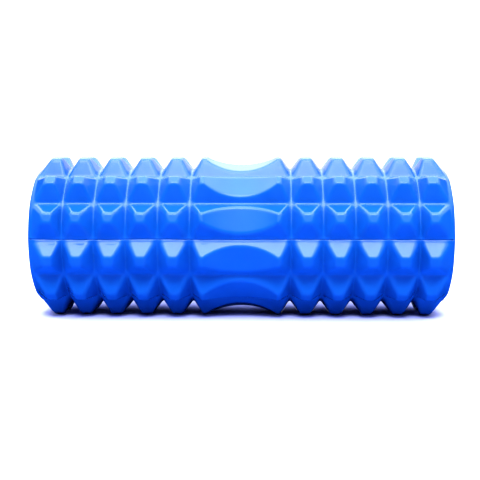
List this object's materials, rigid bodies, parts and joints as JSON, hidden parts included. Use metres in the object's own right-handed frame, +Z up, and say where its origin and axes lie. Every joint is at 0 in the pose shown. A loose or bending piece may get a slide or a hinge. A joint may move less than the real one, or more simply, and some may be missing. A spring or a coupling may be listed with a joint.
{
  "type": "foam roller",
  "caption": "Textured massage roller: hollow rigid core tube in a foam sleeve of blunt pyramid spikes, with a concave saddle band round its middle.",
  "frame": {"origin": "middle of the roller, on its axis", "axes": "+X along the roller's axis, +Z up as it lies on two rows of spikes, -Y towards the viewer"},
  "size_m": [0.33, 0.1276, 0.1276],
  "materials": {
    "eva_foam": "satin",
    "core_plastic": "satin"
  },
  "bodies": {
    "root": {"sleeve_upper_half": "eva_foam", "sleeve_lower_half": "eva_foam", "core_tube": "core_plastic"}
  },
  "joints": []
}
